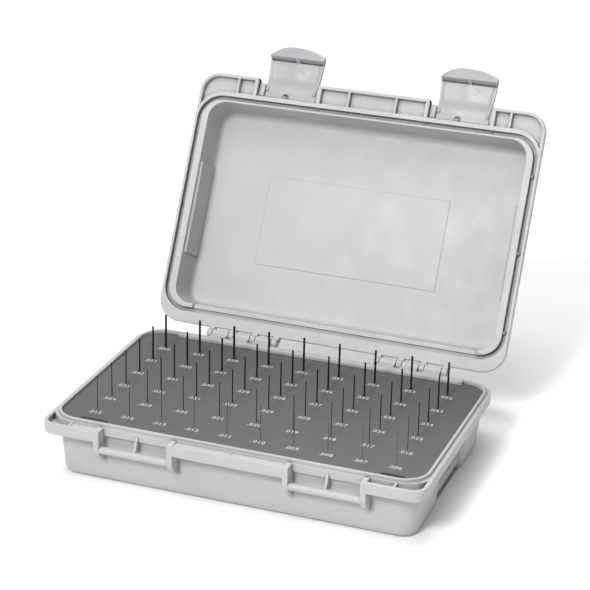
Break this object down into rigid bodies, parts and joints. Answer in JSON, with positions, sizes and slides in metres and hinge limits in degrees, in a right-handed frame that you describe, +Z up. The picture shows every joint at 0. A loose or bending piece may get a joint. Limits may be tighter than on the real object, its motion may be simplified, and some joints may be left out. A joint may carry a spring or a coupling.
{
  "type": "pin gauge set",
  "caption": "Hinged light grey plastic case, open, with two front latches and a dark grey index panel holding rows of slim steel pin gauges that rise in diameter from hair-thin.",
  "frame": {"origin": "centre of the case's flat bottom", "axes": "+X right along the front, +Y from the latches to the hinges, +Z up out of the case"},
  "size_m": [0.2524, 0.285, 0.2174],
  "materials": {
    "case_plastic": "moulded light grey plastic, fine satin grain",
    "latch_plastic": "moulded mid grey plastic, slightly glossier than the case",
    "panel_plastic": "matt dark grey sheet with printed light grey numbers",
    "block_plastic": "matt near-black moulding, hidden",
    "gauge_steel": "ground steel with a dark oxide look",
    "rod_steel": "plain drawn steel rod"
  },
  "bodies": {
    "case": {"case_base": "case_plastic", "hinge_pin_left": "rod_steel", "hinge_pin_right": "rod_steel"},
    "lid": {"case_lid": "case_plastic", "latch_pin_left": "rod_steel", "latch_pin_right": "rod_steel"},
    "latch_l": {"latch_left": "latch_plastic"},
    "latch_r": {"latch_right": "latch_plastic"},
    "insert": {"index_panel": "panel_plastic", "pin_block": "block_plastic"},
    "gauge_011": {"gauge_pin_011": "gauge_steel"},
    "gauge_012": {"gauge_pin_012": "gauge_steel"},
    "gauge_013": {"gauge_pin_013": "gauge_steel"},
    "gauge_014": {"gauge_pin_014": "gauge_steel"},
    "gauge_015": {"gauge_pin_015": "gauge_steel"},
    "gauge_016": {"gauge_pin_016": "gauge_steel"},
    "gauge_017": {"gauge_pin_017": "gauge_steel"},
    "gauge_018": {"gauge_pin_018": "gauge_steel"},
    "gauge_019": {"gauge_pin_019": "gauge_steel"},
    "gauge_020": {"gauge_pin_020": "gauge_steel"},
    "gauge_021": {"gauge_pin_021": "gauge_steel"},
    "gauge_022": {"gauge_pin_022": "gauge_steel"},
    "gauge_023": {"gauge_pin_023": "gauge_steel"},
    "gauge_024": {"gauge_pin_024": "gauge_steel"},
    "gauge_025": {"gauge_pin_025": "gauge_steel"},
    "gauge_026": {"gauge_pin_026": "gauge_steel"},
    "gauge_027": {"gauge_pin_027": "gauge_steel"},
    "gauge_028": {"gauge_pin_028": "gauge_steel"},
    "gauge_029": {"gauge_pin_029": "gauge_steel"},
    "gauge_030": {"gauge_pin_030": "gauge_steel"},
    "gauge_031": {"gauge_pin_031": "gauge_steel"},
    "gauge_032": {"gauge_pin_032": "gauge_steel"},
    "gauge_033": {"gauge_pin_033": "gauge_steel"},
    "gauge_034": {"gauge_pin_034": "gauge_steel"},
    "gauge_035": {"gauge_pin_035": "gauge_steel"},
    "gauge_036": {"gauge_pin_036": "gauge_steel"},
    "gauge_037": {"gauge_pin_037": "gauge_steel"},
    "gauge_038": {"gauge_pin_038": "gauge_steel"},
    "gauge_039": {"gauge_pin_039": "gauge_steel"},
    "gauge_040": {"gauge_pin_040": "gauge_steel"},
    "gauge_041": {"gauge_pin_041": "gauge_steel"},
    "gauge_042": {"gauge_pin_042": "gauge_steel"},
    "gauge_043": {"gauge_pin_043": "gauge_steel"},
    "gauge_044": {"gauge_pin_044": "gauge_steel"},
    "gauge_045": {"gauge_pin_045": "gauge_steel"},
    "gauge_046": {"gauge_pin_046": "gauge_steel"},
    "gauge_047": {"gauge_pin_047": "gauge_steel"},
    "gauge_048": {"gauge_pin_048": "gauge_steel"},
    "gauge_049": {"gauge_pin_049": "gauge_steel"},
    "gauge_050": {"gauge_pin_050": "gauge_steel"},
    "gauge_051": {"gauge_pin_051": "gauge_steel"},
    "gauge_052": {"gauge_pin_052": "gauge_steel"},
    "gauge_053": {"gauge_pin_053": "gauge_steel"},
    "gauge_054": {"gauge_pin_054": "gauge_steel"},
    "gauge_055": {"gauge_pin_055": "gauge_steel"},
    "gauge_056": {"gauge_pin_056": "gauge_steel"},
    "gauge_057": {"gauge_pin_057": "gauge_steel"},
    "gauge_058": {"gauge_pin_058": "gauge_steel"},
    "gauge_059": {"gauge_pin_059": "gauge_steel"},
    "gauge_060": {"gauge_pin_060": "gauge_steel"}
  },
  "joints": [
    {"name": "lid_hinge", "type": "hinge", "parent": "case", "child": "lid", "pos_m": [0, 0.0915, 0.0375], "axis": [-1, 0, 0], "range_deg": [-118, 0]},
    {"name": "latch_left_pivot", "type": "hinge", "parent": "lid", "child": "latch_l", "pos_m": [-0.0598, 0.18281, 0.18942], "axis": [-1, 0, 0], "range_deg": [-90, 0]},
    {"name": "latch_right_pivot", "type": "hinge", "parent": "lid", "child": "latch_r", "pos_m": [0.0657, 0.18281, 0.18942], "axis": [-1, 0, 0], "range_deg": [-90, 0]},
    {"name": "insert_lift", "type": "slide", "parent": "case", "child": "insert", "axis": [0, 0, 1], "range_m": [0, 0.05]},
    {"name": "gauge_011_draw", "type": "slide", "parent": "insert", "child": "gauge_011", "axis": [0, 0, 1], "range_m": [0, 0.03]},
    {"name": "gauge_012_draw", "type": "slide", "parent": "insert", "child": "gauge_012", "axis": [0, 0, 1], "range_m": [0, 0.03]},
    {"name": "gauge_013_draw", "type": "slide", "parent": "insert", "child": "gauge_013", "axis": [0, 0, 1], "range_m": [0, 0.03]},
    {"name": "gauge_014_draw", "type": "slide", "parent": "insert", "child": "gauge_014", "axis": [0, 0, 1], "range_m": [0, 0.03]},
    {"name": "gauge_015_draw", "type": "slide", "parent": "insert", "child": "gauge_015", "axis": [0, 0, 1], "range_m": [0, 0.03]},
    {"name": "gauge_016_draw", "type": "slide", "parent": "insert", "child": "gauge_016", "axis": [0, 0, 1], "range_m": [0, 0.03]},
    {"name": "gauge_017_draw", "type": "slide", "parent": "insert", "child": "gauge_017", "axis": [0, 0, 1], "range_m": [0, 0.03]},
    {"name": "gauge_018_draw", "type": "slide", "parent": "insert", "child": "gauge_018", "axis": [0, 0, 1], "range_m": [0, 0.03]},
    {"name": "gauge_019_draw", "type": "slide", "parent": "insert", "child": "gauge_019", "axis": [0, 0, 1], "range_m": [0, 0.03]},
    {"name": "gauge_020_draw", "type": "slide", "parent": "insert", "child": "gauge_020", "axis": [0, 0, 1], "range_m": [0, 0.03]},
    {"name": "gauge_021_draw", "type": "slide", "parent": "insert", "child": "gauge_021", "axis": [0, 0, 1], "range_m": [0, 0.03]},
    {"name": "gauge_022_draw", "type": "slide", "parent": "insert", "child": "gauge_022", "axis": [0, 0, 1], "range_m": [0, 0.03]},
    {"name": "gauge_023_draw", "type": "slide", "parent": "insert", "child": "gauge_023", "axis": [0, 0, 1], "range_m": [0, 0.03]},
    {"name": "gauge_024_draw", "type": "slide", "parent": "insert", "child": "gauge_024", "axis": [0, 0, 1], "range_m": [0, 0.03]},
    {"name": "gauge_025_draw", "type": "slide", "parent": "insert", "child": "gauge_025", "axis": [0, 0, 1], "range_m": [0, 0.03]},
    {"name": "gauge_026_draw", "type": "slide", "parent": "insert", "child": "gauge_026", "axis": [0, 0, 1], "range_m": [0, 0.03]},
    {"name": "gauge_027_draw", "type": "slide", "parent": "insert", "child": "gauge_027", "axis": [0, 0, 1], "range_m": [0, 0.03]},
    {"name": "gauge_028_draw", "type": "slide", "parent": "insert", "child": "gauge_028", "axis": [0, 0, 1], "range_m": [0, 0.03]},
    {"name": "gauge_029_draw", "type": "slide", "parent": "insert", "child": "gauge_029", "axis": [0, 0, 1], "range_m": [0, 0.03]},
    {"name": "gauge_030_draw", "type": "slide", "parent": "insert", "child": "gauge_030", "axis": [0, 0, 1], "range_m": [0, 0.03]},
    {"name": "gauge_031_draw", "type": "slide", "parent": "insert", "child": "gauge_031", "axis": [0, 0, 1], "range_m": [0, 0.03]},
    {"name": "gauge_032_draw", "type": "slide", "parent": "insert", "child": "gauge_032", "axis": [0, 0, 1], "range_m": [0, 0.03]},
    {"name": "gauge_033_draw", "type": "slide", "parent": "insert", "child": "gauge_033", "axis": [0, 0, 1], "range_m": [0, 0.03]},
    {"name": "gauge_034_draw", "type": "slide", "parent": "insert", "child": "gauge_034", "axis": [0, 0, 1], "range_m": [0, 0.03]},
    {"name": "gauge_035_draw", "type": "slide", "parent": "insert", "child": "gauge_035", "axis": [0, 0, 1], "range_m": [0, 0.03]},
    {"name": "gauge_036_draw", "type": "slide", "parent": "insert", "child": "gauge_036", "axis": [0, 0, 1], "range_m": [0, 0.03]},
    {"name": "gauge_037_draw", "type": "slide", "parent": "insert", "child": "gauge_037", "axis": [0, 0, 1], "range_m": [0, 0.03]},
    {"name": "gauge_038_draw", "type": "slide", "parent": "insert", "child": "gauge_038", "axis": [0, 0, 1], "range_m": [0, 0.03]},
    {"name": "gauge_039_draw", "type": "slide", "parent": "insert", "child": "gauge_039", "axis": [0, 0, 1], "range_m": [0, 0.03]},
    {"name": "gauge_040_draw", "type": "slide", "parent": "insert", "child": "gauge_040", "axis": [0, 0, 1], "range_m": [0, 0.03]},
    {"name": "gauge_041_draw", "type": "slide", "parent": "insert", "child": "gauge_041", "axis": [0, 0, 1], "range_m": [0, 0.03]},
    {"name": "gauge_042_draw", "type": "slide", "parent": "insert", "child": "gauge_042", "axis": [0, 0, 1], "range_m": [0, 0.03]},
    {"name": "gauge_043_draw", "type": "slide", "parent": "insert", "child": "gauge_043", "axis": [0, 0, 1], "range_m": [0, 0.03]},
    {"name": "gauge_044_draw", "type": "slide", "parent": "insert", "child": "gauge_044", "axis": [0, 0, 1], "range_m": [0, 0.03]},
    {"name": "gauge_045_draw", "type": "slide", "parent": "insert", "child": "gauge_045", "axis": [0, 0, 1], "range_m": [0, 0.03]},
    {"name": "gauge_046_draw", "type": "slide", "parent": "insert", "child": "gauge_046", "axis": [0, 0, 1], "range_m": [0, 0.03]},
    {"name": "gauge_047_draw", "type": "slide", "parent": "insert", "child": "gauge_047", "axis": [0, 0, 1], "range_m": [0, 0.03]},
    {"name": "gauge_048_draw", "type": "slide", "parent": "insert", "child": "gauge_048", "axis": [0, 0, 1], "range_m": [0, 0.03]},
    {"name": "gauge_049_draw", "type": "slide", "parent": "insert", "child": "gauge_049", "axis": [0, 0, 1], "range_m": [0, 0.03]},
    {"name": "gauge_050_draw", "type": "slide", "parent": "insert", "child": "gauge_050", "axis": [0, 0, 1], "range_m": [0, 0.03]},
    {"name": "gauge_051_draw", "type": "slide", "parent": "insert", "child": "gauge_051", "axis": [0, 0, 1], "range_m": [0, 0.03]},
    {"name": "gauge_052_draw", "type": "slide", "parent": "insert", "child": "gauge_052", "axis": [0, 0, 1], "range_m": [0, 0.03]},
    {"name": "gauge_053_draw", "type": "slide", "parent": "insert", "child": "gauge_053", "axis": [0, 0, 1], "range_m": [0, 0.03]},
    {"name": "gauge_054_draw", "type": "slide", "parent": "insert", "child": "gauge_054", "axis": [0, 0, 1], "range_m": [0, 0.03]},
    {"name": "gauge_055_draw", "type": "slide", "parent": "insert", "child": "gauge_055", "axis": [0, 0, 1], "range_m": [0, 0.03]},
    {"name": "gauge_056_draw", "type": "slide", "parent": "insert", "child": "gauge_056", "axis": [0, 0, 1], "range_m": [0, 0.03]},
    {"name": "gauge_057_draw", "type": "slide", "parent": "insert", "child": "gauge_057", "axis": [0, 0, 1], "range_m": [0, 0.03]},
    {"name": "gauge_058_draw", "type": "slide", "parent": "insert", "child": "gauge_058", "axis": [0, 0, 1], "range_m": [0, 0.03]},
    {"name": "gauge_059_draw", "type": "slide", "parent": "insert", "child": "gauge_059", "axis": [0, 0, 1], "range_m": [0, 0.03]},
    {"name": "gauge_060_draw", "type": "slide", "parent": "insert", "child": "gauge_060", "axis": [0, 0, 1], "range_m": [0, 0.03]}
  ]
}
